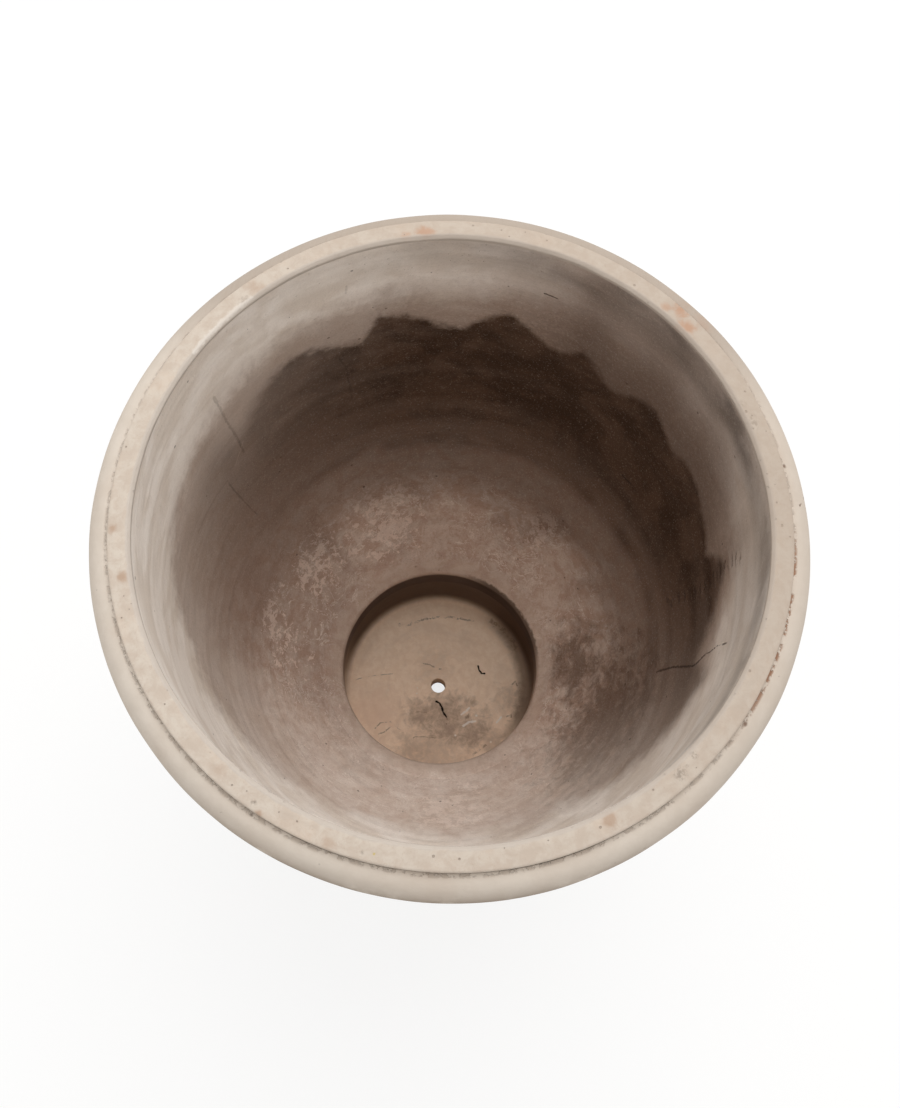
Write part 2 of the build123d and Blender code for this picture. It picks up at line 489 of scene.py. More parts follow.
def sandy(tree, spot, depth=0.1):
    """The fine relief of all the clay: sand grains, turning lines and a few open pores, in mm."""
    sand = times(tree, grain(tree, spot.at, 1.6, 3, 0.7), depth)
    lines = maths(tree, "MULTIPLY_ADD", grain(tree, spot.thrown, 3, 3), 2 * depth, sand)
    clouds = maths(tree, "MULTIPLY_ADD", grain(tree, spot.at, 14, 3), 6 * depth, lines)
    return maths(tree, "MULTIPLY_ADD", pits(tree, spot.at, 13, 1.3, 0.22), -4 * depth, clouds)


# Slip edge: where the pale wash ends inside, by the turn from the far side and the height
slip_line = [
    (-180, 300), (-165, 302), (-150, 318), (-140, 335), (-131, 365), (-122, 395), (-114, 425),
    (-104, 462), (-101, 500), (-92, 560), (-80, 600), (-62, 620), (-50, 640), (-35, 655), (0, 664),
    (30, 668), (48, 662), (64, 650), (78, 628), (88, 596), (95, 552), (103, 515), (109, 475),
    (116, 440), (123, 405), (131, 372), (140, 345), (150, 328), (165, 308), (180, 300),
]
# How well the wash covers the clay
slip_cover = [
    (-180, 1), (-60, 1), (-30, 1), (-12, 0.86), (10, 0.5), (25, 0.26), (45, 0.26), (60, 0.36),
    (75, 0.48), (90, 0.62), (105, 0.9), (125, 1), (180, 1),
]
# Stain edge: the scalloped top of the dark stain that damp soil left
stain_line = [
    (-180, 250), (-140, 330), (-110, 420), (-95, 500), (-84, 515), (-74, 555), (-68, 574), (-62, 560),
    (-57, 542), (-52, 570), (-46, 596), (-40, 608), (-34, 596), (-29, 582), (-24, 572), (-20, 620),
    (-15, 616), (-10, 598), (-5, 580), (-2, 577), (3, 605), (8, 628), (12, 606), (18, 580), (21, 576),
    (25, 601), (30, 580), (34, 558), (38, 572), (43, 596), (47, 590), (51, 567), (54, 560), (58, 576),
    (63, 573), (67, 555), (72, 541), (76, 520), (79, 560), (82, 593), (86, 560), (90, 523), (95, 492),
    (98, 475), (101, 508), (104, 529), (108, 490), (113, 455), (121, 418), (131, 380), (140, 350),
    (160, 300), (180, 250),
]
# How dark the stain is
stain_depth = [
    (-180, 0), (-120, 0), (-100, 0.03), (-85, 0.12), (-72, 0.27), (-58, 0.5), (-45, 0.68),
    (-30, 0.82), (-12, 0.96), (5, 1), (60, 1), (74, 0.95), (88, 0.8), (100, 0.66), (112, 0.45),
    (122, 0.28), (135, 0.12), (155, 0), (180, 0),
]
# How much darker the bare clay low in the bowl is than on the near side
clay_shade = [
    (-180, 0), (-140, 0.02), (-115, 0.12), (-95, 0.4), (-65, 0.42), (-40, 0.12), (0, 0.15), (35, 0.2),
    (60, 0.14), (90, 0.2), (115, 0.08), (145, 0), (180, 0),
]


# Places low in the bowl, each with its turn, height, width and strength: soil marks and worn clay
grime_marks = [(110, 285, 135, 1), (88, 215, 70, 1), (122, 290, 80, 1)]
worn_marks = [
    (-28, 245, 88, 1), (-62, 240, 60, 0.8), (-90, 245, 75, 0.75), (36, 250, 55, 0.6), (170, 235, 95, 0.8),
]
# Throwing rings that took more stain, each with its height, width and depth
stain_rings = [(347, 20, 0.2), (393, 17, 0.1), (452, 20, 0.1), (522, 26, 0.14)]
grey_band_height = 732


def wall_paint(tree, spot):
    """The inside of the pot: brown clay, worn pale low down, a damp stain, and slip above it."""
    at, turn, height = spot.at, spot.turn, spot.height
    clouds = grain(tree, at, 75, 4, 0.55, 0.6)
    mottle = grain(tree, at, 17, 5, 0.65, 0.4)
    washes = grain(tree, vectors(tree, "MULTIPLY", at, (1, 1, 1.5)), 70, 3, 0.5, 0.4)
    rings = grain(tree, spot.thrown, 24, 4, 0.5)
    clay = mix(tree, fade(tree, mottle, 0.36, 0.66), colour("c0a493"), colour("d6c2b4"))
    clay = mix(tree, fade(tree, height, 240, 400, 0.75), clay, colour("927c6e"))
    clay = mix(tree, fade(tree, clouds, 0.5, 0.72, 0.4), clay, colour("927b6f"))
    clay = mix(tree, fade(tree, rings, 0.48, 0.76, 0.14), clay, colour("86695a"))
    shade = times(tree, around(tree, turn, clay_shade), fade(tree, height, 430, 300))
    clay = mix(tree, shade, clay, colour("7d6557"))

    # Pale worn patches and fine white veins where roots and lime have been, low in the bowl
    grime = patches(tree, spot, on_wall, grime_marks)
    low = fade(tree, height, 330, 255)
    scumble = maths(tree, "MULTIPLY_ADD", clouds, 0.5, grain(tree, at, 10, 6, 0.78, 0.5))
    scumble = maths(tree, "MULTIPLY_ADD", grime, -0.14, scumble)
    worn_at = patches(tree, spot, on_wall, worn_marks)
    islands = fade(tree, maths(tree, "MULTIPLY_ADD", worn_at, 0.23, scumble), 0.91, 0.95)
    clay = mix(tree, times(tree, islands, low, 0.6), clay, colour("ead4c6"))
    vein = near(tree, grain(tree, at, 34, 6, 0.66, 1.0), 0.5, 0.012, 0.001)
    vein_at = fade(tree, grain(tree, at, 55, 2), 0.36, 0.56)
    clay = mix(tree, times(tree, vein, vein_at, low, 0.65), clay, colour("ecdfd4"))
    clay = mix(tree, times(tree, grime, 0.85), clay, colour("745e50"))

    # Slip, thin and streaked at its lower edge, and greyer where the clay shows through
    slip_grain = grain(tree, vectors(tree, "MULTIPLY", at, (1, 1, 0.5)), 11, 4, 0.6, 0.3)
    slip_edge = maths(tree, "SUBTRACT", height, around(tree, turn, slip_line, total_height))
    slip_edge = moved(tree, slip_edge, slip_grain, 50)
    slip_edge = moved(tree, slip_edge, clouds, 90)
    slip = most(tree, fade(tree, slip_edge, -70, 45), fade(tree, slip_edge, -270, -40, 0.34))
    slip = times(tree, slip, around(tree, turn, slip_cover))
    slip_tint = mix(tree, fade(tree, washes, 0.36, 0.62), colour("e9ddd0"), colour("faf1e7"))
    slip_tint = mix(tree, fade(tree, mottle, 0.45, 0.75, 0.16), slip_tint, colour("d8cbbe"))
    slip_tint = mix(tree, fade(tree, rings, 0.5, 0.74, 0.2), slip_tint, colour("d3c7bb"))
    inside = mix(tree, slip, clay, slip_tint)

    # A greyer, patchy band under the rim on the far and right sides: partly grey slip and partly painted
    # shade under the rim
    right_side = between(tree, turn, 2, 28, 66, 96)
    far_side = between(tree, turn, -60, 55, 105, 165)
    wavy = moved(tree, height, clouds, 60)
    upper = near(tree, wavy, grey_band_height, 44, 6)
    patchy = maths(tree, "MULTIPLY_ADD", fade(tree, clouds, 0.68, 0.42), 0.36, 0.26)
    patchy = maths(tree, "MULTIPLY_ADD", right_side, 0.22, patchy)
    inside = mix(tree, times(tree, upper, far_side, patchy), inside, colour("6b6159"))
    # Partly grey slip and partly painted shade under the rim on the right and near-right
    right_grey_and_shade = times(tree, between(tree, turn, 66, 90, 124, 150), fade(tree, wavy, 590, 650, 0.3))
    inside = mix(tree, right_grey_and_shade, inside, colour("8f8175"))

    # The damp stain, darkest under its scalloped edge, with a brown halo above it
    stain_edge = maths(tree, "SUBTRACT", around(tree, turn, stain_line, total_height), height)
    stain_edge = moved(tree, stain_edge, mottle, 30)
    how_dark = around(tree, turn, stain_depth)
    reach = maths(tree, "MULTIPLY_ADD", right_side, -190, -80)
    strength = maths(tree, "MULTIPLY_ADD", fade(tree, turn, -60, 5), 0.3, 0.15)
    strength = maths(tree, "MULTIPLY_ADD", right_side, 0.38, strength)
    halo = times(tree, fade(tree, stain_edge, reach, 0), strength, how_dark, fade(tree, height, 330, 430))
    crumbs = fade(tree, spot.rough, 0.5, 0.62, 0.5)
    halo_tint = mix(tree, crumbs, colour("806959"), colour("b29a8b"))
    halo_tint = mix(tree, times(tree, right_side, 0.8), halo_tint, colour("55443a"))
    inside = mix(tree, halo, inside, halo_tint)
    softness = maths(tree, "ADD", fade(tree, turn, -38, -66, 40), fade(tree, turn, 66, 90, 18))
    top = fade(tree, stain_edge, maths(tree, "SUBTRACT", -9, softness), maths(tree, "ADD", 12, softness))
    uneven = moved(tree, height, clouds, 110)
    bottom = maths(tree, "ADD", fade(tree, uneven, 210, 305, 0.6), fade(tree, uneven, 340, 450, 0.34))
    bottom = maths(tree, "ADD", bottom, fade(tree, height, 310, 370, 0.1))
    broken = fade(tree, washes, 0.32, 0.6)
    for ring_height, width, depth in stain_rings:
        ring = near(tree, height, ring_height, width, to=depth)
        bottom = maths(tree, "MULTIPLY_ADD", ring, broken, bottom)
    streaky = maths(tree, "MULTIPLY_ADD", rings, 0.35, maths(tree, "MULTIPLY_ADD", mottle, 0.35, 0.6))
    stain = maths(tree, "MULTIPLY", times(tree, top, bottom, how_dark), streaky, clamp=True)
    stain_tint = mix(tree, fade(tree, clouds, 0.4, 0.62), colour("3d2a1d"), colour("523d2f"))
    inside = mix(tree, stain, inside, stain_tint)

    # Sand in the clay, light and dark
    sand = grain(tree, at, 2.2, 2, 0.8)
    bare = maths(tree, "MULTIPLY_ADD", slip, -0.2, 0.34)
    inside = mix(tree, times(tree, fade(tree, sand, 0.52, 0.78), bare), inside, colour("5c493d"))
    inside = mix(tree, fade(tree, sand, 0.46, 0.24, 0.18), inside, colour("e8ddd2"))
    specks = pits(tree, at, 15, 1.5, 0.3)
    inside = mix(tree, times(tree, specks, 0.55), inside, colour("3a2b22"))
    relief = sandy(tree, spot, 0.15)
    return inside, maths(tree, "MULTIPLY_ADD", specks, -0.5, relief)


def outside_paint(tree, spot):
    """The outside of the pot: pale wash gone grey and brown in patches, thin on the lower bowl."""
    at = spot.at
    clouds = grain(tree, at, 90, 4, 0.6, 0.5)
    mottle = grain(tree, at, 20, 5, 0.65, 0.3)
    rings = grain(tree, spot.thrown, 9, 3, 0.5)
    wash = mix(tree, fade(tree, mottle, 0.3, 0.72), colour("c9bcae"), colour("d5c9bc"))
    wash = mix(tree, fade(tree, clouds, 0.45, 0.75, 0.55), wash, colour("b5a08e"))
    wash = mix(tree, fade(tree, rings, 0.5, 0.75, 0.25), wash, colour("a6988b"))
    bare = fade(tree, moved(tree, spot.height, grain(tree, spot.runs, 26, 4, 0.6), 260), 250, 90, 0.6)
    wash = mix(tree, bare, wash, colour("a98a75"))
    streaks = fade(tree, grain(tree, spot.runs, 7, 4, 0.65), 0.52, 0.72, 0.3)
    streaks = times(tree, streaks, fade(tree, spot.height, 700, 560))
    wash = mix(tree, streaks, wash, colour("8f8073"))
    specks = pits(tree, at, 12, 1.2, 0.25)
    return mix(tree, times(tree, specks, 0.4), wash, colour("5a4a3f"))


# Painted shade on the rim and the roll, by the turn from the far side: they are made darker towards the
# right
rim_and_roll_shade_by_turn = [
    (-180, 0.1), (-130, 0), (-60, 0.1), (-10, 0.4), (30, 0.5), (80, 0.64), (120, 0.44), (150, 0.2),
    (180, 0.1),
]
# Marks on the flat, each with its turn from the far side, radius, width and strength
brown_marks = [
    (-106, 288, 7, 1), (-97, 294, 6, 1), (-153, 298, 5, 1), (149, 287, 10, 1), (-44, 288, 14, 0.6),
    (-165, 294, 8, 0.6), (-144, 288, 9, 0.4),
]
rust_marks = [
    (44, 287, 14, 1), (41, 295, 13, 1), (38.5, 286, 8, 0.7), (-10, 285, 11, 0.75), (-14, 283, 7, 0.6),
]
soot_marks = [
    (135, 288, 9, 1), (131, 285, 6, 1), (66, 285, 10, 1), (62, 284, 6, 1), (-151.5, 292.7, 4, 1),
    (-170.5, 293, 3, 1), (-47, 284, 8, 0.8),
]


def rim_paint(tree, spot):
    """The rim: sandy pale slip on the flat, rust and soil marks, and a scraped grey inner edge."""
    at, turn, radius = spot.at, spot.turn, spot.radius
    mottle = grain(tree, at, 13, 5, 0.68, 0.4)
    clouds = grain(tree, at, 42, 4, 0.6)
    flat = mix(tree, fade(tree, mottle, 0.36, 0.66), colour("c3b4a5"), colour("cdc1b3"))
    flat = mix(tree, fade(tree, clouds, 0.5, 0.74, 0.35), flat, colour("cfb9a5"))
    dust = fade(tree, grain(tree, at, 2.6, 3, 0.75), 0.52, 0.74, 0.32)
    flat = mix(tree, dust, flat, colour("b39c89"))
    brown = patches(tree, spot, on_rim, brown_marks)
    flat = mix(tree, times(tree, brown, 0.7), flat, colour("ab8d76"))
    rust = patches(tree, spot, on_rim, rust_marks)
    flat = mix(tree, times(tree, rust, 0.9), flat, colour("be8561"))
    soot = patches(tree, spot, on_rim, soot_marks)
    soot = times(tree, soot, fade(tree, grain(tree, at, 3, 3, 0.7), 0.4, 0.6), 0.6)
    flat = mix(tree, soot, flat, colour("6e6259"))
    lichen = patch(tree, spot, on_rim(-172.3, 292), 2)
    flat = mix(tree, lichen, flat, colour("bfa84e"))
    pores = pits(tree, at, 7, 1.1, 0.3)
    flat = mix(tree, times(tree, pores, 0.5), flat, colour("6f5c4e"))
    ragged = moved(tree, radius, grain(tree, at, 16, 4, 0.6), 5)
    scraped = fade(tree, ragged, mouth_radius + 4.6, mouth_radius + 2.6)
    flat = mix(tree, times(tree, scraped, 0.7), flat, colour("bdb3a9"))
    white_line = [on_rim(place, 281.5) for place in (-61, -57, -53, -49, -46)]
    white_edge = stroke(tree, spot, white_line, 4)
    flat = mix(tree, times(tree, white_edge, 0.6), flat, colour("e0d8ce"))
    chipped = fade(tree, ragged, rim_outer_radius - 1.6, rim_outer_radius + 0.2)
    chipped = times(tree, chipped, fade(tree, grain(tree, at, 17, 5, 0.72), 0.55, 0.7))
    right_step = maths(tree, "ADD", between(tree, turn, 84, 94, 118, 150), 0.15, clamp=True)
    flat = mix(tree, times(tree, chipped, right_step, 0.5), flat, colour("957a66"))
    # Painted shade: the flat made darker towards the right
    flat = mix(tree, around(tree, turn, rim_and_roll_shade_by_turn), flat, colour("a39384"))
    on_flat = fade(tree, spot.height, rim_outer_height - 3.5, rim_outer_height - 1)
    sides = mix(tree, spot.outside, wall_paint(tree, spot)[0], outside_paint(tree, spot))
    relief = maths(tree, "MULTIPLY_ADD", pores, -0.45, sandy(tree, spot, 0.12))
    return mix(tree, on_flat, sides, flat), relief


rim.data.materials.append(fired("rim_slip_over_stoneware", rim_paint))

# Lip roll
# A fat coil pressed round the outside a step below the flat rim, which binds the band's joint.
# It was wiped round with wet slip, so it is smooth, with chips and rust along the step.
roll_top = 747
roll_height = 54
roll_proud = 22
roll_middle = roll_top - roll_height / 2
roll_back = straight(outer_belly_radius, rim_outer_radius, rim_outer_height, roll_middle)
roll_parts = 34
roll_turns = [math.radians(-90 + 180 * part / roll_parts) for part in range(roll_parts + 1)]
step_radius = 303
roll_section = trace(
    [
        (roll_back + roll_proud * math.cos(turn), roll_middle + roll_height / 2 * math.sin(turn), 0)
        for turn in roll_turns
    ],
    inside_step=3,
    outside_step=3,
)


def roll_relief(spot):
    """The coil's unevenness, with a chewed edge along the step under the flat rim."""
    radius = math.hypot(spot.x, spot.y)
    away = Vector((spot.x, spot.y, 0)).normalized()
    low = 0.4 * noise.noise(spot / 52) - 0.4
    step_edge = max(0, 1 - abs(radius - step_radius) / 4) * max(0, noise.noise(spot / 18))
    return away * low - Vector((0, 0, 0.5 * step_edge))


roll = turned("clay_lip_roll", roll_section, steps=900, relief=roll_relief)
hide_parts("lip_roll")


def roll_paint(tree, spot):
    """The roll: smooth pale wash, brushed across on the far side, rust and chips at the step, painted shade
    in the step, and soil with painted shade low on the near side.
    """
    at, turn = spot.at, spot.turn
    wash = mix(tree, 0.5, outside_paint(tree, spot), colour("cfc4b7"))
    # Painted shade: the roll made darker towards the right
    wash = mix(tree, times(tree, around(tree, turn, rim_and_roll_shade_by_turn), 0.4), wash, colour("a39384"))
    rust = between(tree, turn, 35, 40, 45.5, 48)
    rust = times(tree, rust, fade(tree, grain(tree, at, 14, 4, 0.6), 0.36, 0.66), 0.5)
    wash = mix(tree, rust, wash, colour("c79a7d"))
    # Soil and painted shade: the near side of the roll darker towards its lower edge
    near_side = fade(tree, maths(tree, "ABSOLUTE", turn), 120, 165)
    soil_and_painted_shade = times(tree, near_side, fade(tree, spot.height, roll_top - 3, roll_top - 35))
    soil_and_painted_shade = times(tree, soil_and_painted_shade, fade(tree, grain(tree, at, 24, 4, 0.65), 0.2, 0.56), 0.9)
    wash = mix(tree, soil_and_painted_shade, wash, colour("766353"))
    step_line = fade(tree, spot.radius, step_radius + 1.5, step_radius - 1.5)
    ragged = times(tree, step_line, fade(tree, grain(tree, at, 8, 4, 0.7), 0.47, 0.57))
    right_side = between(tree, turn, 84, 92, 112, 128)
    wash = mix(tree, times(tree, ragged, right_side), wash, colour("9b7158"))
    # Painted shade: a thin dark line all round in the step under the flat
    wash = mix(tree, times(tree, ragged, 0.3), wash, colour("8a7868"))
    chips = most(
        tree,
        stroke(tree, spot, [at_turn(79.5, 318, 733), at_turn(81.5, 310, 743)], 1.4),
        patch(tree, spot, at_turn(74.5, step_radius, roll_top), 3),
        patch(tree, spot, at_turn(121, step_radius, roll_top), 3),
    )
    wash = mix(tree, times(tree, chips, 0.8), wash, colour("6a4f3e"))
    nick = patch(tree, spot, at_turn(-152, 302, 748), 2.5)
    wash = mix(tree, nick, wash, colour("574a41"))
    brushed = vectors(tree, "MULTIPLY", at, (1, 0.12, 0.12))
    far_side = near(tree, turn, 0, 70, 45)
    brush = fade(tree, grain(tree, brushed, 3, 3, 0.6), 0.5, 0.7, 0.25)
    wash = mix(tree, times(tree, brush, far_side), wash, colour("b39d8b"))
    wash = mix(tree, times(tree, far_side, 0.7), wash, colour("9f9184"))
    return wash, maths(tree, "MULTIPLY_ADD", most(tree, chips, nick, ragged), -0.7, sandy(tree, spot))


roll.data.materials.append(fired("wiped_slip_on_the_roll", roll_paint))

# Upper wall
# A second thrown section of the same clay, luted on the bowl half way up with a bevelled joint and
# rebated at the top for the rim band. The pits are where grit was dragged out.
joint_height = 360
joint_outer_height = 352
wall_pits = [
    (-13, 573, 5, 1.3), (-30, 552, 6, 1.1), (-13, 428, 5, 1.4), (-14, 441, 4, 1.2), (-10, 450, 4, 1.2),
    (-26, 463, 4, 1), (-9, 472, 4, 1), (79, 397, 8, 2.4), (81, 391, 5, 1.4), (82, 586, 6, 1.2),
    (57, 592, 5, 1), (70, 462, 5, 1.2), (25, 372, 4, 1), (52, 374, 5, 1.1), (-110, 396, 4, 1),
    (-92, 372, 4, 1), (-65, 638, 4, 1), (77, 649, 4, 1),
]


def quarter(radius, drop, low, high, spacing):
    """Points up the ellipse below the belly, between two heights, in even turns."""
    start = math.acos((belly_height - low) / drop)
    end = math.acos((belly_height - high) / drop)
    parts = round((end - start) * drop / spacing)
    turns = [start + (end - start) * part / parts for part in range(parts + 1)]
    return [(radius * math.sin(turn), belly_height - drop * math.cos(turn), 0) for turn in turns]


wall_section = trace(
    [
        *quarter(belly_radius, inner_drop, joint_height, belly_height, 3),
        (inner_joint_radius, rim_joint, 0),
        (lap_radius, rim_joint, 0),
        (lap_radius, rim_lap, 0),
        (outer_lap_radius, rim_lap, 0),
        *reversed(quarter(outer_belly_radius, outer_drop, joint_outer_height, belly_height, 8)),
    ],
    inside_step=3.2,
    outside_step=8,
)
wall_dents = [(on_wall(turn, height), width, depth) for turn, height, width, depth in wall_pits]
wall_piece = turned("clay_upper_wall", wall_section, steps=576, dents=wall_dents)
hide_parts("upper_wall")


comb_spacing = 17


def marked_wall_paint(tree, spot):
    """The wall with its cracks, the comb's strokes and the grooves that a tool dragged upwards."""
    inside, relief = wall_paint(tree, spot)

    def drawn(places, width, ragged=0.4):
        return stroke(tree, spot, [on_wall(turn, height) for turn, height in places], width, ragged)

    crack = most(
        tree,
        drawn([(97.6, 309), (96.6, 334), (96, 368)], 1.1, 0.7),
        drawn([(96, 368), (96.3, 403), (98.6, 466), (97.7, 505)], 1.6, 0.6),
        drawn([(97.7, 505), (98.5, 560), (100.5, 612)], 1.1, 0.7),
        drawn([(45.5, 425), (48.4, 426)], 1.8),
        drawn([(14.7, 683), (17.5, 682)], 1.6),
    )
    lines = maths(tree, "MULTIPLY_ADD", spot.turn, 2.4, spot.height)
    lines = maths(tree, "MULTIPLY_ADD", lines, math.tau / comb_spacing, times(tree, spot.rough, 5))
    comb = drawn([(79.4, 410), (80.6, 455), (81.8, 505), (82, 555), (82.8, 600), (84.4, 640)], 9, 0.15)
    comb = times(tree, comb, fade(tree, maths(tree, "SINE", lines), 0.45, 0.9))
    comb = most(tree, comb, drawn([(78.6, 390), (79.8, 396)], 5, 0.8))
    grooves = most(
        tree,
        drawn([(-60.5, 660), (-59.5, 595), (-58.1, 527), (-58, 495)], 2.2, 0.6),
        drawn([(-29.4, 552), (-27.9, 522), (-27.9, 457)], 2.4, 0.6),
        drawn([(-65.2, 481), (-64.3, 423), (-63.3, 377)], 1.4, 0.6),
    )
    dashes = most(
        tree,
        drawn([(-26, 731), (-26.6, 686)], 1.8, 0.6),
        drawn([(-65.6, 485), (-72.6, 490), (-79, 492)], 3, 0.6),
    )
    scratch = drawn([(-61.3, 492), (-56.8, 520)], 1.2)
    inside = mix(tree, times(tree, grooves, 0.24), inside, colour("4d3e34"))
    inside = mix(tree, times(tree, dashes, 0.2), inside, colour("5d5148"))
    inside = mix(tree, times(tree, comb, 0.45), inside, colour("3d2d24"))
    inside = mix(tree, times(tree, crack, 0.7), inside, colour("33261f"))
    inside = mix(tree, times(tree, scratch, 0.5), inside, colour("b7a596"))
    relief = maths(tree, "MULTIPLY_ADD", most(tree, crack, comb), -0.9, relief)
    relief = maths(tree, "MULTIPLY_ADD", grooves, -0.5, relief)
    return mix(tree, spot.outside, inside, outside_paint(tree, spot)), relief


wall_piece.data.materials.append(fired("slip_and_damp_stain_on_the_wall", marked_wall_paint))

# Lower bowl
# The round bottom of the pot, thrown thick in the same clay, with its base bored out to open the
# well. It is luted to the wall above and to the dish below, and its sides are quarter ellipses.
bore_radius = 134
base_height = 132
base_outer_height = 138
neck_radius = 160
neck_round = 12
bowl_section = trace(
    [
        *reversed(quarter(belly_radius, inner_drop, inner_height(bore_radius), joint_height, 2.6)),
        (bore_radius, base_height, 0),
        (neck_radius, base_outer_height, 0),
        (neck_radius, outer_height(neck_radius), neck_round),
        *quarter(outer_belly_radius, outer_drop, outer_height(neck_radius + 10), joint_outer_height, 8),
    ],
    inside_step=4,
    outside_step=8,
)
bowl_pits = [
    (-15, 312, 6, 1.2), (-12, 309, 5, 1), (77, 312, 5, 1.2), (33, 333, 5, 1), (-33, 300, 7, 0.8),
    (-20, 262, 6, 0.8), (8, 283, 5, 1), (32, 288, 5, 0.8), (60, 255, 8, 0.6), (120, 215, 7, 0.9),
]
bowl_dents = [(on_wall(turn, height), width, depth) for turn, height, width, depth in bowl_pits]
bowl = turned("clay_lower_bowl", bowl_section, steps=504, dents=bowl_dents)
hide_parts("lower_bowl")


def bowl_paint(tree, spot):
    """The bowl: the wall's paint going on down, and the outside's paint going on down."""
    inside, relief = wall_paint(tree, spot)
    return mix(tree, spot.outside, inside, outside_paint(tree, spot)), relief


bowl.data.materials.append(fired("worn_brown_clay_of_the_bowl", bowl_paint))

# Seam band
# Soft clay pressed into the bored hole and wiped out over the bowl's floor with a wet finger,
# so it lines the cut edge, its own top edge is round, and it is smoother than the bowl.
band_outer = 150
band_edge = 170.5
band_feather = 0.8
band_section = trace(
    [
        (hole_radius, base_height, 0),
        (hole_radius, band_edge, 5),
        (band_outer, inner_height(band_outer) + band_feather, 0.6),
        *reversed(quarter(belly_radius, inner_drop, inner_height(bore_radius), inner_height(band_outer), 3)),
        (bore_radius, base_height, 0),
    ],
    inside_step=2,
    outside_step=2,
)


def band_relief(spot):
    """The wiped band follows the bowl's own rings, with the finger's dips round its edge."""
    dips = noise.noise(spot / 30)
    return thrown_relief(spot) + way_out(spot)[0] * (0.5 * dips + 0.2)


band = turned("clay_seam_band", band_section, steps=480, relief=band_relief)
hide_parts("seam_band")


def band_paint(tree, spot):
    """The band: the bowl's clay wiped smooth and a little paler, and dark in the cut on the far side, partly
    stain and partly painted shade.
    """
    inside, relief = wall_paint(tree, spot)
    wiped = fade(tree, grain(tree, spot.at, 22, 5, 0.65), 0.34, 0.66)
    pale = mix(tree, wiped, colour("b19a8a"), colour("c6b1a1"))
    feather = moved(tree, spot.radius, spot.cloudy, 24)
    inside = mix(tree, fade(tree, feather, band_outer, bore_radius, 0.55), inside, pale)
    ragged = maths(tree, "MULTIPLY_ADD", spot.rough, 6, spot.radius)
    torn = fade(tree, ragged, bore_radius + 1, bore_radius - 2)
    torn = times(tree, torn, between(tree, spot.turn, 5, 28, 66, 92), 0.75)
    inside = mix(tree, torn, inside, colour("3b2c22"))
    # Painted shade with some stain: the cut wall darker on the far side, under the hole's edge
    cut = fade(tree, spot.height, hole_edge, hole_edge - 8)
    cut = times(tree, cut, near(tree, spot.turn, 0, 130, 60), 0.9)
    return mix(tree, cut, inside, colour("44332a")), relief


band.data.materials.append(fired("wiped_clay_of_the_seam", band_paint))

# Foot dish
# One thrown dish of clay, luted under the bowl: the well's floor and wall inside, and the waisted
# foot outside. The drain hole was pierced while the clay was soft, so its edge is rounded.
floor_height = 45
dish_under = 14
drain = 10.5
drain_wear = 1.5
well_radius = 134
well_corner = 14
toe_radius = 186
toe_height = 40
waist = 9
ring_inner = 156
ring_outer = 180
ring_seat = 16
waist_parts = 20


def waist_point(share):
    """A point of the foot's waisted side, from its toe to its neck."""
    chord = Vector((neck_radius - toe_radius, base_outer_height - toe_height))
    inward = Vector((-chord.y, chord.x)).normalized()
    return Vector((toe_radius, toe_height)) + chord * share + inward * waist * 4 * share * (1 - share)


dish_section = trace(
    [
        (drain, dish_under, drain_wear),
        (drain, floor_height, drain_wear),
        (well_radius, floor_height, well_corner),
        (well_radius, base_height, 0),
        (neck_radius, base_outer_height, 0),
        *[(*waist_point(1 - part / waist_parts), 0) for part in range(1, waist_parts)],
        (toe_radius, toe_height, 5),
        (toe_radius, dish_under, 2),
        (ring_outer, dish_under, 0),
        (ring_outer, ring_seat, 0),
        (ring_inner, ring_seat, 0),
        (ring_inner, dish_under, 0),
    ],
    inside_step=2.8,
    outside_step=5,
)


def dish_relief(spot):
    """The floor is thrown in shallow rings and dips a little in places."""
    radius = math.hypot(spot.x, spot.y)
    if radius > well_radius + 3 or spot.z > floor_height + 30:
        return thrown_relief(spot) * 0.5
    rings = noise.noise(Vector((spot.x / 150, spot.y / 150, radius / 15)))
    return Vector((0, 0, 0.5 * rings + 0.6 * noise.noise(spot / 34)))


def on_floor(x, y):
    """A place on the well's floor."""
    return Vector((x, y, floor_height))


floor_dents = [(on_floor(47, -40), 9, 1.6), (on_floor(8, -32), 7, 0.8), (on_floor(50, -20), 9, 0.8)]
dish = turned("clay_foot_dish", dish_section, steps=432, relief=dish_relief, dents=floor_dents)
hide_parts("foot_dish")


# Soil on the well's floor, each patch with its place, width and strength
soil_marks = [
    (14, -48, 55, 1), (-20, -45, 34, 1), (50, -60, 45, 1), (-10, 28, 34, 0.3), (-20, -92, 50, 0.7),
    (108, -10, 34, 0.6), (85, -75, 34, 0.7), (0, -100, 85, 0.55),
]


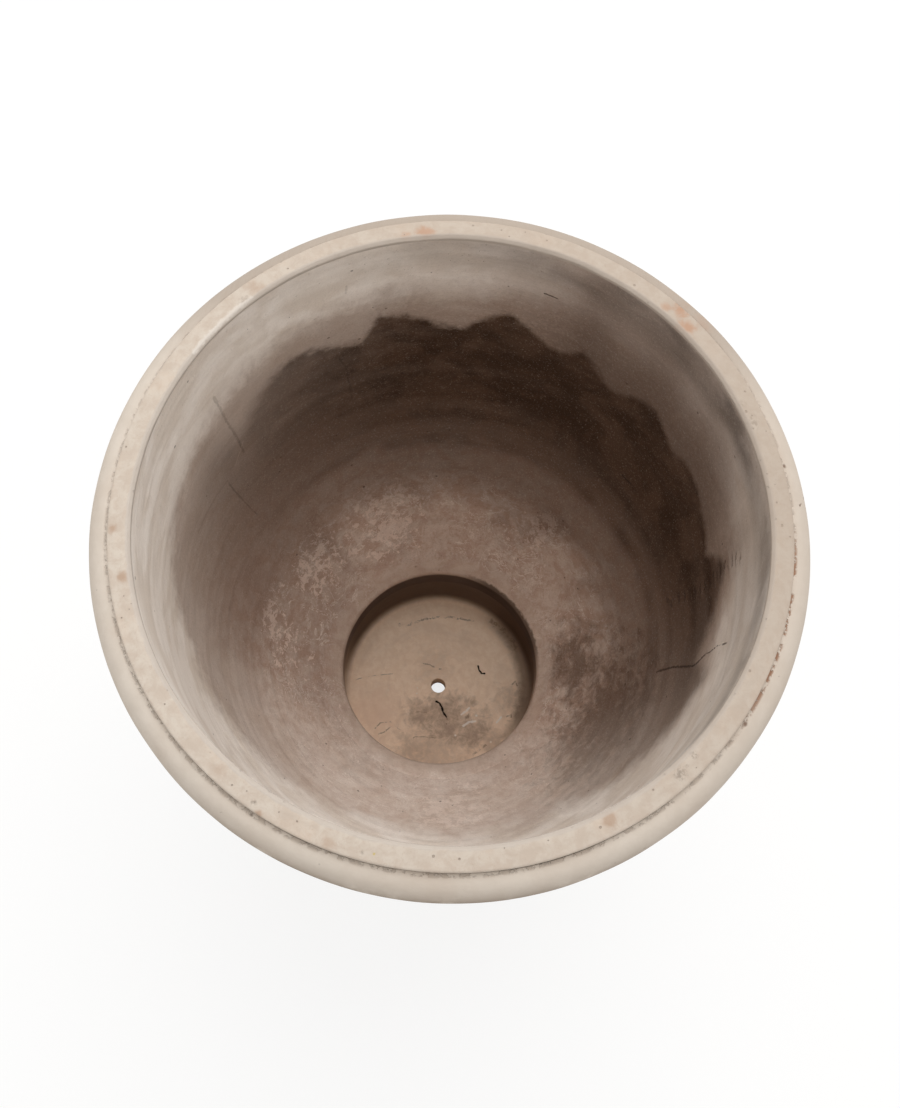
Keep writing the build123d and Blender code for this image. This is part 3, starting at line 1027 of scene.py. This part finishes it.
def dish_paint(tree, spot):
    """The well: tan clay with a soil stain, cracks, dug marks and lime, grime in the corner, and painted
    shade with some stain on its far wall.
    """
    at, radius = spot.at, spot.radius
    clouds = grain(tree, at, 48, 4, 0.55, 0.5)
    mottle = grain(tree, at, 9, 5, 0.65, 0.3)
    rings = grain(tree, spot.thrown, 8, 3, 0.5)
    tan = mix(tree, fade(tree, mottle, 0.36, 0.66), colour("f0d4ba"), colour("f8dfc7"))
    tan = mix(tree, fade(tree, rings, 0.5, 0.72, 0.3), tan, colour("dec2ab"))
    tan = mix(tree, fade(tree, clouds, 0.48, 0.7, 0.35), tan, colour("dfc7b2"))

    def drawn(places, width, ragged=0.4):
        return stroke(tree, spot, [on_floor(x, y) for x, y in places], width, ragged)

    def spread(x, y, width, ragged=0.5):
        return patch(tree, spot, on_floor(x, y), width, ragged)

    soil = patches(tree, spot, on_floor, soil_marks)
    soil = times(tree, soil, fade(tree, mottle, 0.1, 0.62, 0.8))
    tan = mix(tree, soil, tan, colour("9d8675"))
    tan = mix(tree, times(tree, spread(-85, -45, 52), 0.5), tan, colour("e3c3ac"))
    grime = fade(tree, moved(tree, radius, mottle, 14), well_radius - 28, well_radius - 12)
    grime = times(tree, grime, between(tree, spot.turn, 20, 48, 104, 134), 0.7)
    tan = mix(tree, grime, tan, colour("5a4434"))
    # Painted shade with some stain: the well's wall darker on the far side
    far_wall_shade_and_stain = fade(tree, radius, well_radius - 12, well_radius - 1)
    far_wall_shade_and_stain = times(tree, far_wall_shade_and_stain, near(tree, spot.turn, 0, 130, 60, 0.92))
    tan = mix(tree, far_wall_shade_and_stain, tan, colour("4a3629"))

    lime = most(
        tree,
        drawn([(36, -38), (42, -33), (46, -28)], 2.2),
        drawn([(40, -54), (47, -48), (56, -46)], 2.2),
        drawn([(86, -45), (92, -37)], 1.8),
        spread(80, -73, 2.2, 0.2),
        spread(30, -68, 2.2, 0.2),
        spread(-29, -6, 1.5, 0.2),
        spread(-29, -14, 1.7, 0.2),
        spread(57, -38, 3),
    )
    tan = mix(tree, times(tree, lime, 0.75), tan, colour("f2eae2"))
    specks = pits(tree, at, 10, 1.2, 0.2)
    specks = times(tree, specks, fade(tree, clouds, 0.45, 0.55), 0.5)
    tan = mix(tree, specks, tan, colour("efe5da"))
    dug = most(tree, spread(46, -40, 6.5), times(tree, spread(50, -20, 9), 0.6))
    tan = mix(tree, times(tree, dug, 0.75), tan, colour("7b6656"))
    scribed = most(
        tree,
        drawn([(-63, 83), (-53, 83), (-40, 89), (-27, 95), (-6, 100), (14, 101), (42, 98)], 2.2, 1.2),
        drawn([(68, 100), (79, 93), (90, 86), (99, 75), (107, 60)], 4, 0.9),
        drawn([(-82, -68), (-76, -60), (-63, -57), (-52, -65), (-43, -71)], 1.2, 0.8),
        drawn([(-78, -76), (-69, -72), (-59, -62)], 1.2, 1),
        drawn([(-28, -77), (-26, -75), (-11, -74), (2, -74)], 0.9),
        drawn([(-31, -40), (-13, -40)], 1),
        drawn([(104, 11), (108, 16), (111, 10)], 1.6),
        drawn([(99, -36), (106, -32), (106, -41), (101, -41), (99, -36)], 1.4, 0.7),
        drawn([(57, -92), (65, -86), (73, -78)], 2, 0.8),
        drawn([(-124, -6), (-112, 0), (-92, 6), (-66, 11)], 0.9),
        drawn([(15, -43), (18, -49), (16, -54)], 0.8),
        drawn([(-24, 30), (-15, 29), (-5, 24), (4, 24)], 1.4, 0.9),
    )
    scribed = times(tree, scribed, fade(tree, mottle, 0.4, 0.56, 0.55))
    tan = mix(tree, scribed, tan, colour("66503f"))
    crack = most(
        tree,
        drawn([(-1, -23), (4, -25), (8, -31), (10, -37), (15, -43)], 1.9),
        drawn([(54, 33), (56, 27), (60, 23), (64, 23.5)], 1.5),
    )
    tan = mix(tree, crack, tan, colour("1b140f"))
    relief = maths(tree, "MULTIPLY_ADD", crack, -1.6, sandy(tree, spot, 0.08))
    below = fade(tree, spot.height, dish_under + 4, dish_under + 1)
    in_well = maths(tree, "LESS_THAN", radius, well_radius + 8)
    tint = mix(tree, in_well, outside_paint(tree, spot), tan)
    return mix(tree, below, tint, colour("a78a74")), relief


dish.data.materials.append(fired("tan_clay_of_the_well", dish_paint))

# Foot ring
# A rolled coil of the pot's own clay, luted under the dish and turned flat where the pot stands.
# It is bare clay, so it is matt and sandy, with the standing face rubbed by the ground.
ring_round = 4
ring_section = trace(
    [
        (ring_inner, ring_seat, 0),
        (ring_inner, 0, ring_round),
        (ring_outer, 0, ring_round),
        (ring_outer, ring_seat, 0),
    ],
    inside_step=3,
    outside_step=3,
)
ring = turned("clay_foot_ring", ring_section, steps=300)
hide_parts("foot_ring")


def ring_paint(tree, spot):
    """The ring: bare sandy clay, rubbed grey and brown on the standing face."""
    mottle = grain(tree, spot.at, 12, 5, 0.68, 0.3)
    bare = mix(tree, fade(tree, mottle, 0.36, 0.66), colour("9c7f6a"), colour("b89b85"))
    rubbed = times(tree, fade(tree, spot.height, 3, 0.5), fade(tree, mottle, 0.4, 0.6), 0.5)
    return mix(tree, rubbed, bare, colour("85776b")), sandy(tree, spot, 0.14)


ring.data.materials.append(fired("bare_stoneware_of_the_foot", ring_paint))
